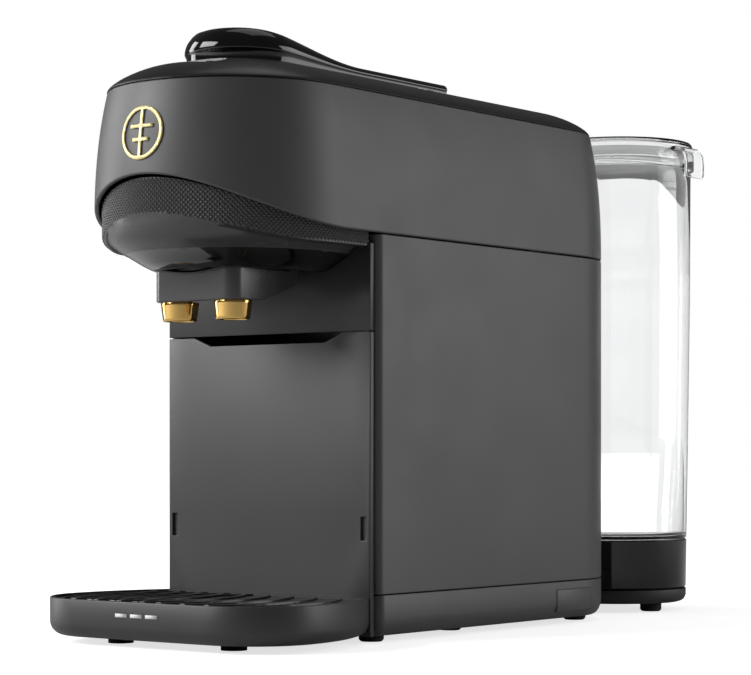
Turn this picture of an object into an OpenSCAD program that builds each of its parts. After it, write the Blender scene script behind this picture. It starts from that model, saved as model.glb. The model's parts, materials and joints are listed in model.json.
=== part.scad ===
// Pod coffee machine: a long, narrow machine with an overhanging brew head,
// a top lever, a pull-out capsule bin with a drip tray in front of it, and a
// removable water tank that stands behind the body.
// Millimetres, +Z up, front towards -Y, resting on the floor at Z = 0.

/* [Body] */
// Outside width of the body
body_w = 128; // [110:0.5:150]
// Depth from the front panel to the back of the body
body_l = 225; // [205:1:275]
// Radius of the two upright rear corners
rear_r = 50; // [44:1:54]
// Height of the seam between base and body shell
base_z = 22; // [20:0.5:25]
// Height of the seam between body shell and upper housing
seam_z = 185.7; // [182:0.1:222]
// Wall thickness of the outer shells
wall = 2.4; // [2:0.1:2.6]
// Inset of the front panels from the body's sides
panel_inset = 2.7; // [2:0.1:3]
// Width of the seams between outer pieces
seam_gap = 0.6; // [0.4:0.1:0.8]

/* [Head] */
// Distance the head reaches in front of the panel
head_reach = 87; // [78:1:104]
// Height of the upper housing's side, from seam to crease
head_h = 64.6; // [62:0.1:78]
// Inward lean of the upper housing at the crease
head_taper = 6; // [3:0.5:7]
// Height of the cap above the crease
cap_rise = 12.7; // [11:0.1:15]
// Distance from the outline at which the cap becomes flat
cap_run = 42; // [38:1:43]
// Radius of the upward sweep of the housing's lower edge
swoop_r = 115; // [100:1:140]
// Inset of the knurled band from the outline
band_inset = 3.9; // [3.5:0.1:6]

/* [Lever] */
// Width of the lever
lever_w = 56; // [48:1:60]
// Distance of the lever's nose in front of the panel
lever_nose = 43; // [34:1:48]
// Distance of the lever's tail behind the panel
lever_tail = 105; // [102:1:112]
// Height of the lever's grip above the cap
lever_rise = 16.5; // [13:0.1:20]
// Thickness of the lever's tail
lever_t = 4.5; // [4:0.1:6]
// Radius of the hinge pin
hinge_pin_r = 2; // [1.5:0.1:2.5]
// Radial running clearance on the hinge pin
hinge_gap = 0.05; // [0.02:0.01:0.09]
// Length of the crank that moves the capsule carriage
crank_r = 24; // [20:1:26]
// Radius of the crank pins
crank_pin_r = 2.5; // [2:0.1:3]

/* [Spout] */
// Width of the spout block
spout_w = 50; // [48:1:58]
// Distance of the spout's face in front of the panel
spout_reach = 52; // [48:1:60]
// Height of the spout block's underside
spout_z = 154.6; // [150:0.1:158]
// Distance between the two nozzles
nozzle_pitch = 32; // [28:0.5:34]
// Radius of a nozzle at the top
nozzle_r = 8.8; // [7:0.1:9]
// Length of a nozzle below the block
nozzle_h = 8.6; // [7:0.1:11]

/* [Bin and tray] */
// Height of the split between the bin's front and the upper panel
split_z = 141.2; // [130:0.1:145]
// Distance the drip tray reaches in front of the panel
tray_reach = 88; // [80:1:110]
// Width of the drip tray
tray_w = 149; // [130:1:160]
// Radius of the drip tray's front corners
tray_corner = 36; // [30:1:40]
// Radius of the drip tray's bowed sides
tray_side = 104; // [95:1:140]
// Radius of the roll round the drip tray's lower edge
tray_roll = 6.5; // [4:0.5:8]
// Height of the drip tray's rim
tray_z = 20.8; // [18:0.1:22]
// Clearance under the drip tray
tray_lift = 3.4; // [3:0.1:5]
// Depth of the capsule bin behind its front
bin_l = 116; // [100:1:118]
// Running clearance between sliding pieces
slide_gap = 0.4; // [0.3:0.05:0.6]

/* [Tank] */
// Length of the tank across the machine
tank_w = 120; // [110:1:145]
// Depth of the tank, front to back
tank_d = 84; // [72:1:98]
// Gap between the body and the tank
tank_gap = 10; // [6:1:20]
// Height of the tank's lid
tank_z = 256; // [225:1:307]
// Total narrowing of the tank's radius from top to bottom
tank_draft = 3.6; // [2:0.2:4.4]
// Wall thickness of the tank
tank_wall = 2.2; // [1.8:0.1:2.6]
// Height of the black skirt at the tank's foot
skirt_z = 39; // [34:1:44]
// Height of the holder the tank stands on
holder_z = 12; // [11:0.5:13]

/* [Feet] */
// Radius of the machine's feet
foot_r = 5.8; // [5:0.2:8]
// Clearance under the base
foot_h = 3; // [3:0.5:5]

/* [Hidden] */
$fn = 64;

e = 0.01;
half_w = body_w / 2;
crease_z = seam_z + head_h;
cap_z = crease_z + cap_rise;
front_c = half_w - head_reach;
face_y = 3.3;
plate_t = 2.8;

tank_r = tank_d / 2;
tank_c = (tank_w - tank_d) / 2;
tank_y = body_l + tank_gap + tank_r;
panel_y = (max(tray_reach, head_reach) - tank_y - tank_r) / 2;

pivot_y = 97;
pivot_z = cap_z - 6;
lever_angle = 75;
crank_half = lever_angle / 2;
crank_play = 0.75;
well_half = lever_w / 2 + 0.7;
well_back = 112;

brew_z = cap_z - 48;
brew_y = 38;
cup_r = 19;
cup_half = 24;
cup_d = 30;
arm_in = 20;

button_y = front_c - half_w + 30;
button_z = cap_z - 4.4;
button_pitch = 16;
button_r = 5;
button_reach = 0.7;

pump_y = bin_l + 54;
pump_z = 60;
meter_y = body_l - 27;
gland_y = body_l - 78;
nozzle_y = 10 - spout_reach;
hose_z = 7.8;

neck_r = 11;
neck_bore = 8;
neck_z = 16;

// Puts a piece, drawn from the front panel's plane, into the whole machine.
module place() {
  translate([0, panel_y, 0])
    children();
}

// Copies a piece to both sides.
module both() {
  for (m = [0, 1])
    mirror([m, 0, 0])
      children();
}

// Sweeps a profile of (inward distance, height) along the sides and round the back.
module sweep_rear(y0) {
  both() {
    translate([0, body_l - rear_r, 0])
      rotate([90, 0, 0])
        linear_extrude(body_l - rear_r - y0)
          translate([half_w, 0]) mirror([1, 0]) children();
    translate([half_w - rear_r, body_l - rear_r, 0])
      rotate_extrude(angle = 90)
        translate([rear_r, 0]) mirror([1, 0]) children();
  }
  translate([rear_r - half_w, body_l, 0])
    rotate([90, 0, 90])
      linear_extrude(2 * (half_w - rear_r))
        mirror([1, 0]) children();
}

// Sweeps the same kind of profile round the front of the head, back to y1.
module sweep_front(y1) {
  translate([0, front_c, 0])
    rotate([0, 0, 180])
      rotate_extrude(angle = 180)
        translate([half_w, 0]) mirror([1, 0]) children();
  both()
    translate([0, y1, 0])
      rotate([90, 0, 0])
        linear_extrude(y1 - front_c)
          translate([half_w, 0]) mirror([1, 0]) children();
}

// Sweeps a profile round the tank's outline.
module sweep_tank() {
  for (s = [-1, 1]) {
    translate([s * tank_c, tank_y, 0])
      rotate([0, 0, -s * 90])
        rotate_extrude(angle = 180)
          translate([tank_r, 0]) mirror([1, 0]) children();
    translate([-tank_c, tank_y + s * tank_r, 0])
      rotate([90, 0, 90])
        linear_extrude(2 * tank_c)
          scale_x(-s) children();
  }
}

// Mirrors a profile when s is negative.
module scale_x(s) {
  if (s < 0)
    mirror([1, 0]) children();
  else
    children();
}

// Body outline from y0 to the back, moved inward by d.
module rear_plan(d, y0) {
  translate([d - half_w, y0])
    square([2 * (half_w - d), body_l - rear_r - y0]);
  translate([rear_r - half_w, body_l - rear_r - e])
    square([2 * (half_w - rear_r), rear_r - d + e]);
  for (s = [-1, 1])
    translate([s * (half_w - rear_r), body_l - rear_r])
      circle(r = rear_r - d);
}

// Whole head outline, moved inward by d.
module head_plan(d) {
  translate([0, front_c])
    circle(r = half_w - d);
  rear_plan(d, front_c);
}

// Tank outline, moved inward by d.
module tank_plan(d) {
  for (s = [-1, 1])
    translate([s * tank_c, tank_y])
      circle(r = tank_r - d);
  translate([-tank_c, tank_y - tank_r + d])
    square([2 * tank_c, 2 * (tank_r - d)]);
}

// Drip tray outline, moved inward by d; its straight back stays at y1.
module tray_plan(d, y1) {
  front = tray_corner - tray_reach;
  corner_x = tray_w / 2 - tray_corner;
  intersection() {
    bow(1) circle(r = tray_side - d);
    bow(-1) circle(r = tray_side - d);
    translate([-tray_w, front])
      square([2 * tray_w, y1 - front]);
  }
  for (s = [-1, 1])
    translate([s * corner_x, front])
      circle(r = tray_corner - d);
  translate([-corner_x, d - tray_reach])
    square([2 * corner_x, tray_corner - d + e]);
}

// Centre of the arc that bows one side of the drip tray.
module bow(s) {
  translate([s * (tray_w / 2 - tray_side), tray_corner - tray_reach])
    children();
}

// A round bar between two points.
module bar(a, b, r) {
  v = b - a;
  translate(a)
    rotate([0, acos(v[2] / norm(v)), atan2(v[1], v[0])])
      cylinder(h = norm(v), r = r);
}

// A hose through a list of points, with a ball elbow at each turn.
module hose(pts, r) {
  for (i = [0 : len(pts) - 2])
    bar(pts[i], pts[i + 1], r);
  for (i = [1 : len(pts) - 2])
    translate(pts[i])
      sphere(r = r + 0.5);
}

// Lean of the upper housing at height z.
function lean(z) = head_taper * pow(max(0, z - seam_z) / head_h, 2.5);
// Height of the cap's top at distance d inward from the outline.
function cap_top(d) = crease_z + cap_rise * pow(sin(90 * (d - head_taper) / (cap_run - head_taper)), 0.7);
// Narrowing of the tank's radius at height z.
function draft(z) = tank_draft * (1 - z / tank_z);

head_steps = 8;
cap_steps = 12;

// ---- base and body ----

module base_chassis() color("#26272a") place() {
  edge = [[0, base_z - seam_gap / 2], [0, foot_h + 5], [0.9, foot_h + 2.2], [2.6, foot_h + 0.6],
          [5, foot_h], [8, foot_h], [8, foot_h + wall], [5.4, foot_h + wall],
          [wall, foot_h + 6], [wall, base_z - seam_gap / 2]];
  difference() {
    union() {
      sweep_rear(face_y)
        polygon(edge);
      translate([0, 0, foot_h])
        linear_extrude(wall)
          rear_plan(7, face_y);
      translate([2 - half_w, face_y, foot_h + 1])
        cube([body_w - 4, wall, base_z - seam_gap / 2 - foot_h - 1]);
      translate([1 - half_w, face_y, base_z - seam_gap / 2 - wall])
        cube([body_w - 2, bin_l + 8, wall]);
      for (x = [-1, 1], y = [18, body_l - 45])
        translate([x * (half_w - 20), y, foot_h])
          cylinder(h = base_z - seam_gap / 2 - foot_h - wall, r = 5);
    }
    // seats of the four chassis screws
    for (x = [-1, 1], y = [18, body_l - 45])
      translate([x * (half_w - 20), y, foot_h - e]) {
        cylinder(h = 4, r = 3.6);
        cylinder(h = 12, r = 1.7);
      }
    // pocket of the side hatch
    translate([half_w - 1.9, body_l - 77, foot_h + 3.8])
      cube([4, 32, 11.2]);
    // way through for the water hose and the tank's holder
    translate([-4, meter_y + 14, foot_h + 0.2])
      cube([8, body_l - meter_y, 10]);
    translate([-24.05, body_l - wall, 0])
      cube([48.1, wall + 1, holder_z + 0.05]);
  }
}

module base_hatch() color("#1f2023") place()
  difference() {
    translate([half_w - 1.9, body_l - 76.6, foot_h + 4.2])
      cube([1.8, 31.2, 10.4]);
    translate([half_w - 0.7, body_l - 52, foot_h + 6.6])
      cube([2, 3, 5.6]);
  }

module body_shell() color("#3b3c40") place()
  difference() {
    translate([0, 0, base_z])
      linear_extrude(seam_z - seam_gap - base_z)
        difference() {
          rear_plan(0, face_y);
          rear_plan(wall, face_y + wall);
          translate([6 - half_w, 0])
            square([body_w - 12, 10]);
          for (s = [-1, 1])
            scale_x(s)
              difference() {
                translate([half_w - 2, face_y - 1])
                  square(3);
                translate([half_w - 2, face_y + 2])
                  circle(r = 2);
              }
        }
    translate([-half_w - 1, gland_y, base_z + 14])
      rotate([0, 90, 0])
        cylinder(h = wall + 3, r = 6);
  }

module cord_gland() color("#141414") place()
  translate([-half_w, gland_y, base_z + 14])
    rotate([0, 90, 0])
      difference() {
        union() {
          translate([0, 0, -2])
            cylinder(h = 2, r = 8);
          cylinder(h = wall + 0.2, r = 5.95);
          translate([0, 0, wall + 0.2])
            cylinder(h = 1.6, r = 7);
        }
        translate([0, 0, -3])
          cylinder(h = wall + 8, r = 3.2);
      }

module upper_panel() color("#34353a") place()
  difference() {
    union() {
      translate([panel_inset - half_w, 0, split_z + seam_gap / 2])
        cube([body_w - 2 * panel_inset, plate_t, seam_z - 5 - split_z]);
      both()
        translate([half_w - 12, plate_t, split_z + 6])
          cube([3, 6, 28]);
    }
    // way in for the coffee duct
    translate([-9.4, -1, seam_z - 18])
      cube([18.8, plate_t + 2, 20]);
  }

module inner_frame() color("#1c1d20") place() {
  cheek = cup_half + 2;
  top = cap_z - 16;
  floor_z = seam_z + 1.3;
  difference() {
    union() {
      translate([2.8 - half_w, plate_t + 1, floor_z])
        cube([body_w - 5.6, 166, 3]);
      both() {
        translate([cheek, plate_t + 1, floor_z])
          cube([3, 121, top - floor_z]);
        // rails that carry and guide the capsule cup
        translate([cup_half - 6, plate_t + 1, floor_z + 3])
          cube([8 + e, 34, brew_z - cup_half - slide_gap - floor_z - 3]);
        translate([cup_half + 0.4, plate_t + 1, brew_z - 3])
          cube([1.6 + e, 34, 6]);
        // legs down to the base
        translate([half_w - 9, bin_l + 14, base_z])
          cube([5, 10, floor_z - base_z + e]);
      }
      translate([-cheek - e, plate_t + 110, floor_z])
        cube([2 * cheek + 2 * e, 3, 26]);
    }
    // way down for the used capsule
    translate([4 - cup_half, 7, floor_z - 1])
      cube([2 * cup_half - 8, 33, 5]);
    // passage for the hose to the brew head
    translate([0, 76, floor_z - 1])
      cylinder(h = 6, r = 6);
  }
}

// ---- head ----

module upper_housing() color("#3b3c40") place() {
  outer = [for (i = [0 : head_steps]) let (z = seam_z + head_h * i / head_steps) [lean(z), z]];
  inner = [for (i = [head_steps : -1 : 0]) let (z = seam_z + head_h * i / head_steps) [lean(z) + wall, z]];
  difference() {
    union() {
      sweep_front(0)
        polygon(concat(outer, inner));
      sweep_rear(0)
        polygon(concat(outer, inner));
    }
    swoop_cut(-18, seam_z, swoop_r);
  }
}

// Removes what lies under a lower edge that rises towards the front.
module swoop_cut(y0, z0, r) {
  depth = head_reach + y0 + 10;
  difference() {
    translate([-half_w - 5, y0 - depth, z0 - 50])
      cube([body_w + 10, depth, 50 + r]);
    translate([-half_w - 6, y0, z0 + r])
      rotate([0, 90, 0])
        cylinder(h = body_w + 12, r = r, $fn = 180);
  }
}

module top_cap() color("#151518") place() {
  span = cap_run - head_taper;
  upper = [for (i = [0 : cap_steps]) let (d = head_taper + span * pow(i / cap_steps, 1.6)) [d, cap_top(d)]];
  lower = [for (i = [cap_steps : -1 : 4]) let (d = head_taper + span * pow(i / cap_steps, 1.6))
             [min(cap_run, d + 1), cap_top(d) - 2]];
  difference() {
    union() {
      sweep_front(0)
        cap_profile(upper, lower);
      sweep_rear(0)
        cap_profile(upper, lower);
      translate([0, 0, cap_z - 2])
        linear_extrude(2)
          head_plan(cap_run - 0.5);
      // cheeks of the lever's well, which hold the hinge pin
      both()
        translate([well_half, 84, pivot_z - 6])
          cube([4, well_back - 80, cap_z - 1 - pivot_z + 6]);
      // collar of the capsule opening
      translate([-22, 6, cap_z - 9])
        cube([44, 36, 8]);
    }
    translate([-well_half, 84, pivot_z - 7])
      cube([2 * well_half, well_back - 84, 20]);
    translate([-19.5, 8.5, cap_z - 10])
      cube([39, 31, 20]);
    hinge_line(hinge_pin_r, 2 * well_half + 6);
    button_slot(cap_z - 12, 30, 0.2);
  }
}

// Cap profile: the dome and the lip that drops inside the housing.
module cap_profile(upper, lower) {
  d = head_taper + wall + 0.4;
  polygon(concat(upper, lower, [[d + 2.4, crease_z - 3], [d, crease_z - 3], [d, crease_z]]));
}

// A bore or pin on the lever's hinge line.
module hinge_line(r, l) {
  translate([-l / 2, pivot_y, pivot_z])
    rotate([0, 90, 0])
      cylinder(h = l, r = r);
}

// Rounded slot of the button strip.
module button_slot(z, h, gap) {
  r = button_r + 2.2 + gap;
  translate([-button_pitch, button_y, z])
    cylinder(h = h, r = r);
  translate([button_pitch, button_y, z])
    cylinder(h = h, r = r);
  translate([-button_pitch, button_y - r, z])
    cube([2 * button_pitch, 2 * r, h]);
}

module knurled_band() color("#2b2c30") place()
  difference() {
    sweep_front(0)
      polygon([[band_inset, seam_z - 12], [band_inset, seam_z + 25], [lean(seam_z + 25) + wall + 0.1, seam_z + 25],
               [lean(seam_z + 27) + wall + 0.1, seam_z + 27], [band_inset + 2.2, seam_z + 27], [band_inset + 2.2, seam_z - 12]]);
    swoop_cut(-36, seam_z - 6, 100);
    translate([-half_w, -36 - e, seam_z - 20])
      cube([body_w, 40, 14]);
  }

module head_underside() color("#17181b") place() {
  d0 = band_inset + 2.25;
  top = seam_z + 14;
  skin = [[d0, top], [d0, seam_z - 1.7], [d0 + 1.4, seam_z - 4.7], [d0 + 4.2, seam_z - 7.1], [d0 + 7.7, seam_z - 9.3],
          [d0 + 15.7, seam_z - 13.9], [d0 + 22.6, seam_z - 17.1], [d0 + 30, seam_z - 17.1]];
  back = [[d0 + 30, seam_z - 14.7], [d0 + 23.2, seam_z - 14.7], [d0 + 16.7, seam_z - 11.7], [d0 + 8.9, seam_z - 7.2],
          [d0 + 5.6, seam_z - 5.2], [d0 + 3.7, seam_z - 3.4], [d0 + 2.4, seam_z - 0.8], [d0 + 2.4, top]];
  difference() {
    union() {
      sweep_front(0)
        polygon(concat(skin, back));
      translate([0, 0, seam_z - 17.1])
        linear_extrude(2.4) {
          intersection() {
            translate([0, front_c])
              circle(r = half_w - d0 - 29);
            translate([-half_w, -body_w])
              square(body_w);
          }
          translate([d0 + 29 - half_w, front_c])
            square([2 * (half_w - d0 - 29), -front_c]);
        }
    }
    // coffee channel down into the spout block
    translate([-9, 12 - spout_reach - 6, seam_z - 20])
      cube([18, 22, 8]);
  }
}

module spout_block() color("#3a3b3e") place() {
  top = seam_z - 17.1;
  r = 6.5;
  difference() {
    intersection() {
      translate([0, 0, spout_z - 1])
        linear_extrude(top - spout_z + 1) {
          for (s = [-1, 1])
            translate([s * (spout_w / 2 - r), r - spout_reach])
              circle(r = r);
          translate([r - spout_w / 2, -spout_reach])
            square([spout_w - 2 * r, 50]);
          translate([-spout_w / 2, r - spout_reach])
            square([spout_w, 41]);
        }
      translate([-spout_w, 0, 0])
        rotate([90, 0, 90])
          linear_extrude(2 * spout_w)
            polygon([[-spout_reach - 5, spout_z], [20 - spout_reach, spout_z], [43 - spout_reach, top - 5],
                     [45 - spout_reach, top - 2], [45 - spout_reach, top + 5], [-spout_reach - 5, top + 5]]);
    }
    // gallery that splits the coffee between the nozzles
    translate([-nozzle_pitch / 2 - 3, nozzle_y - 3, spout_z + 5])
      cube([nozzle_pitch + 6, 6, 12]);
    for (s = [-1, 1])
      translate([s * nozzle_pitch / 2, nozzle_y, spout_z - 2])
        cylinder(h = 7 + e, r = 3);
    for (s = [-1, 1])
      translate([s * nozzle_pitch / 2, nozzle_y, spout_z - 2])
        cylinder(h = 5, r = nozzle_r - 3);
  }
}

// One nozzle: a tapered brass cup with a spigot that seats in the block.
module nozzle(s) {
  translate([s * nozzle_pitch / 2, nozzle_y, spout_z])
    rotate_extrude()
      polygon([[nozzle_r - 1.1, -nozzle_h], [nozzle_r, 0], [nozzle_r - 3.03, 0], [nozzle_r - 3.03, 3], [3, 3], [3, -1.6],
               [nozzle_r - 2.1, -3], [nozzle_r - 2.5, -nozzle_h]]);
}

module nozzle_left() color("#b99a5b") place() nozzle(-1);
module nozzle_right() color("#b99a5b") place() nozzle(1);

module head_emblem() color("#c7a24a") place() {
  zc = seam_z + 41;
  skin = [for (i = [0 : head_steps]) let (z = seam_z + head_h * i / head_steps) [half_w - lean(z), z]];
  difference() {
    intersection() {
      translate([0, -40, zc])
        rotate([90, 0, 0])
          linear_extrude(60) {
            difference() {
              circle(r = 12);
              circle(r = 10.4);
            }
            square([1.6, 22.4], center = true);
            translate([0, 3])
              square([13, 1.6], center = true);
            translate([0, -3])
              square([9, 1.6], center = true);
          }
      translate([0, front_c, 0])
        rotate_extrude()
          polygon(concat([[0, seam_z]], [for (p = skin) p + [0.3, 0]], [[0, crease_z]]));
    }
    translate([0, front_c, 0])
      rotate_extrude()
        polygon(concat([[0, seam_z]], skin, [[0, crease_z]]));
  }
}

module coffee_duct() color("#1a1a1c") place() {
  z0 = seam_z - 14.7;
  difference() {
    union() {
      translate([-8.8, 6.4 - spout_reach, z0 - 2.4])
        cube([17.6, 21.2, 4]);
      translate([-8.8, 6.4 - spout_reach, z0])
        cube([17.6, spout_reach - 3.4, 14]);
    }
    rotate([90, 0, 90])
      translate([0, 0, -7])
        linear_extrude(14)
          polygon([[8.4 - spout_reach, z0 - 7], [18 - spout_reach, z0 - 7], [25 - spout_reach, z0 + 2.4], [5, z0 + 7],
                     [5, z0 + 20], [8.4 - spout_reach, z0 + 20]]);
  }
}

// ---- brew unit ----

module brew_head() color("#35363a") place()
  difference() {
    union() {
      translate([0, brew_y + 1.2, brew_z])
        rotate([-90, 0, 0])
          cylinder(h = 14, r = 23);
      translate([-cup_half - 2, brew_y + 14, brew_z - 22])
        cube([2 * cup_half + 4, 8, 35]);
      translate([0, brew_y + 22 - e, brew_z])
        rotate([-90, 0, 0])
          cylinder(h = 8, r = 6);
    }
    translate([0, brew_y, brew_z])
      rotate([-90, 0, 0])
        cylinder(h = 6, r = 15);
    translate([0, brew_y, brew_z])
      rotate([-90, 0, 0])
        cylinder(h = 40, r = 2);
    translate([0, brew_y, brew_z])
      rotate([-90, 0, 0])
        difference() {
          cylinder(h = 3.2, r = 21.6);
          translate([0, 0, -1])
            cylinder(h = 6, r = 18.4);
        }
  }

module piercing_plate() color("#b9bcc0") place()
  translate([0, brew_y + 3.4, brew_z])
    rotate([-90, 0, 0])
      difference() {
        union() {
          cylinder(h = 1.6, r = 14.9);
          for (a = [0 : 60 : 300])
            rotate([0, 0, a])
              translate([9.5, 0, -4])
                cylinder(h = 4 + e, r1 = 0.4, r2 = 1.6, $fn = 24);
        }
        translate([0, 0, -1])
          cylinder(h = 4, r = 2.5);
      }

module brew_seal() color("#6b3f2a") place()
  translate([0, brew_y + 0.5, brew_z])
    rotate([-90, 0, 0])
      difference() {
        cylinder(h = 2.7, r = 21.5);
        translate([0, 0, -1])
          cylinder(h = 5, r = 18.5);
      }

module capsule_cup() color("#2f3034") place() {
  z1 = pivot_z - crank_r * cos(crank_half);
  z0 = pivot_z - crank_r;
  pin_y = pivot_y + crank_r * sin(crank_half);
  slot = crank_pin_r + crank_play;
  difference() {
    union() {
      translate([-cup_half, brew_y - cup_d, brew_z - cup_half])
        cube([2 * cup_half, cup_d, 2 * cup_half]);
      both() {
        translate([arm_in, brew_y - 10, z0 - 2])
          cube([cup_half - arm_in, pin_y - brew_y + 10, 10]);
        translate([arm_in, pin_y - slot - 5, z0 - slot - 4])
          cube([cup_half - arm_in, 2 * slot + 9, z1 - z0 + 2 * slot + 8]);
      }
    }
    translate([0, brew_y + 1, brew_z])
      rotate([90, 0, 0])
        cylinder(h = cup_d - 3, r1 = cup_r, r2 = cup_r - 3);
    translate([0, brew_y - cup_d + 9, brew_z - cup_r + 8])
      rotate([90, 0, 0])
        cylinder(h = 12, r = 2);
    // upright slots for the crank pins
    translate([-cup_half - 1, pin_y - slot, z0 - slot])
      cube([2 * cup_half + 2, 2 * slot, z1 - z0 + 2 * slot]);
    // top of the block is cut away to let a capsule in
    translate([5 - cup_r, brew_y - 18, brew_z + 1])
      cube([2 * cup_r - 10, 20, cup_half + 1]);
  }
}

// ---- lever ----

module lever() color("#08080a") place() {
  base = cap_z + 0.5;
  tail = base + lever_t;
  crest = cap_z + lever_rise;
  nose = -lever_nose;
  r = lever_w / 2;
  curve = concat(
    [for (a = [0 : 15 : 90]) [nose + 10 * (1 - cos(a)), tail + (crest - tail) * sin(a)]],
    [for (i = [1 : 12]) let (u = i / 12) [nose + 10 + 54 * u, tail + (crest - tail) * (1 + cos(180 * u)) / 2]]);
  difference() {
    union() {
      intersection() {
        translate([-r, 0, 0])
          rotate([90, 0, 90])
            linear_extrude(lever_w)
              polygon(concat([[nose + 3, base], [nose, base + 2]], curve, [[lever_tail, tail], [lever_tail, base]]));
        translate([0, 0, base - 5])
          linear_extrude(lever_rise + 20) {
            translate([0, nose + r])
              circle(r = r);
            translate([-r, nose + r])
              square([lever_w, lever_tail - nose - r]);
          }
      }
      hinge_line(4, lever_w - 1);
      translate([-14.6, pivot_y - 3, pivot_z])
        cube([29.2, 6, base - pivot_z + 1]);
      both()
        translate([19.4, pivot_y - 3, pivot_z])
          cube([r - 19.9, 6, base - pivot_z + 1]);
    }
    hinge_line(hinge_pin_r + hinge_gap, lever_w + 2);
  }
}

module lever_crank() color("#8d9096") place()
  both()
    translate([15, pivot_y, pivot_z])
      rotate([90, 0, 90])
        difference() {
          union() {
            cylinder(h = 4, r = 6.2);
            rotate([0, 0, -90 + crank_half]) {
              translate([0, -3.4, 0])
                cube([crank_r, 6.8, 4]);
              translate([crank_r, 0, 0])
                cylinder(h = 4, r = 3.4);
              translate([crank_r, 0, 0])
                cylinder(h = cup_half - 15, r = crank_pin_r);
            }
          }
          translate([0, 0, -1])
            cylinder(h = 6, r = 4.02);
        }

module hinge_pin() color("#a9acb2") place()
  hinge_line(hinge_pin_r, 2 * well_half + 6);

// ---- buttons ----

module button_panel() color("#0b0b0c") place()
  difference() {
    button_slot(button_z - 2.8, 2.8, 0);
    for (i = [-1 : 1])
      translate([i * button_pitch, button_y, button_z - 4])
        cylinder(h = 6, r = button_r + 0.35);
  }

module button_board() color("#1f5a3a") place()
  difference() {
    union() {
      translate([-button_pitch - 7, button_y - 5.4, button_z - 10])
        cube([2 * button_pitch + 14, 10.8, 1.6]);
      for (x = [-button_pitch / 2, button_pitch / 2])
        translate([x, button_y, button_z - 9])
          cylinder(h = 6.2, r = 1.6);
    }
    for (x = [-button_pitch / 2, button_pitch / 2])
      translate([x, button_y, button_z - 11])
        cylinder(h = 4, r = 0.8);
  }

// One push button: a cap with a flange under the panel.
module button(i) {
  translate([i * button_pitch, button_y, button_z - 5.2])
    difference() {
      union() {
        cylinder(h = 5.2 + button_reach, r = button_r);
        cylinder(h = 1.9, r = button_r + 0.9);
      }
      translate([0, 0, 5.2 + button_reach - 0.4])
        cylinder(h = 1, r = 2);
    }
}

module button_left() color("#2a2b2e") place() button(-1);
module button_middle() color("#2a2b2e") place() button(0);
module button_right() color("#2a2b2e") place() button(1);

// One rubber return boot under a button.
module boot(i) {
  translate([i * button_pitch, button_y, button_z - 8.4])
    rotate_extrude()
      polygon([[2.6, 0], [3.6, 0], [3.0, 0.8], [3.6, 1.6], [3.0, 2.4], [3.6, 3.2], [2.6, 3.2], [2.0, 2.4], [2.6, 1.6],
               [2.0, 0.8]]);
}

module boot_left() color("#444444") place() boot(-1);
module boot_middle() color("#444444") place() boot(0);
module boot_right() color("#444444") place() boot(1);

// ---- inside the body ----

module control_board() color("#1f5a3a") place() {
  y0 = bin_l + 28;
  translate([8 - half_w, y0, 96]) {
    cube([1.6, 44, 70]);
    translate([1.6 - e, 6, 8])
      cube([14, 16, 18]);
    translate([1.6 - e, 26, 12])
      cube([6, 12, 12]);
    for (z = [38, 52])
      translate([1.6 - e, 14, z])
        rotate([0, 90, 0])
          cylinder(h = 11, r = 5);
  }
}

module water_pump() color("#b5b7bb") place() {
  translate([0, pump_y, pump_z]) {
    translate([-34, 0, 0])
      rotate([0, 90, 0])
        cylinder(h = 52, r = 19);
    translate([18 - e, 0, 0])
      rotate([0, 90, 0])
        cylinder(h = 14, r = 11);
    translate([32 - 2 * e, 0, 0])
      rotate([0, 90, 0])
        cylinder(h = 8, r = 4);
    translate([-42, 0, 0])
      rotate([0, 90, 0])
        cylinder(h = 8 + e, r = 4);
    translate([-28, -16, 0])
      cube([40, 32, 24]);
  }
}

module pump_mounts() color("#202020") place()
  for (x = [-26, 4])
    translate([x, pump_y - 14, foot_h + wall])
      difference() {
        cube([8, 28, pump_z - 10 - foot_h - wall]);
        translate([-1, 14, pump_z - foot_h - wall])
          rotate([0, 90, 0])
            cylinder(h = 10, r = 19);
      }

module heater_block() color("#a7aaad") place() {
  y0 = 60;
  z0 = split_z - 5;
  difference() {
    union() {
      translate([-36, y0, z0])
        cube([72, 52, 30]);
      for (i = [0 : 5])
        translate([-36, y0 + 2 + i * 9, z0 + 30 - e])
          cube([72, 3, 6]);
      translate([-20, y0 - 8, z0 + 15])
        rotate([-90, 0, 0])
          cylinder(h = 8 + e, r = 4);
      translate([20, y0 + 52 - e, z0 + 15])
        rotate([-90, 0, 0])
          cylinder(h = 8, r = 4);
      for (x = [-38.5, 33.5])
        translate([x, y0 + 22, z0 + 30 - e])
          cube([5, 8, seam_z + 1.3 - z0 - 30 + e]);
    }
    translate([-20, y0 - 9, z0 + 15])
      rotate([-90, 0, 0])
        cylinder(h = 12, r = 2.2);
    translate([20, y0 + 50, z0 + 15])
      rotate([-90, 0, 0])
        cylinder(h = 12, r = 2.2);
  }
}

module flow_meter() color("#d8d9dc") place()
  translate([0, meter_y, foot_h + wall]) {
    cylinder(h = 12, r = 12);
    translate([0, 0, 4])
      rotate([-90, 0, 0])
        cylinder(h = 16, r = 2.4);
    translate([0, 0, 6])
      rotate([0, 90, 0])
        cylinder(h = 18, r = 2.4);
  }

module hose_tank() color("#cfd3d6") place()
  hose([[0, meter_y + 16, foot_h + wall + 4], [0, meter_y + 19, foot_h + wall + 4], [0, body_l - 2, hose_z],
        [0, tank_y - 8.2, hose_z]], 2.4);

module hose_meter() color("#cfd3d6") place() {
  z = foot_h + wall + 6;
  hose([[18, meter_y, z], [24, meter_y, z], [half_w - 14, pump_y + 16, 40], [half_w - 14, pump_y, pump_z],
        [40, pump_y, pump_z]], 3);
}

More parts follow.
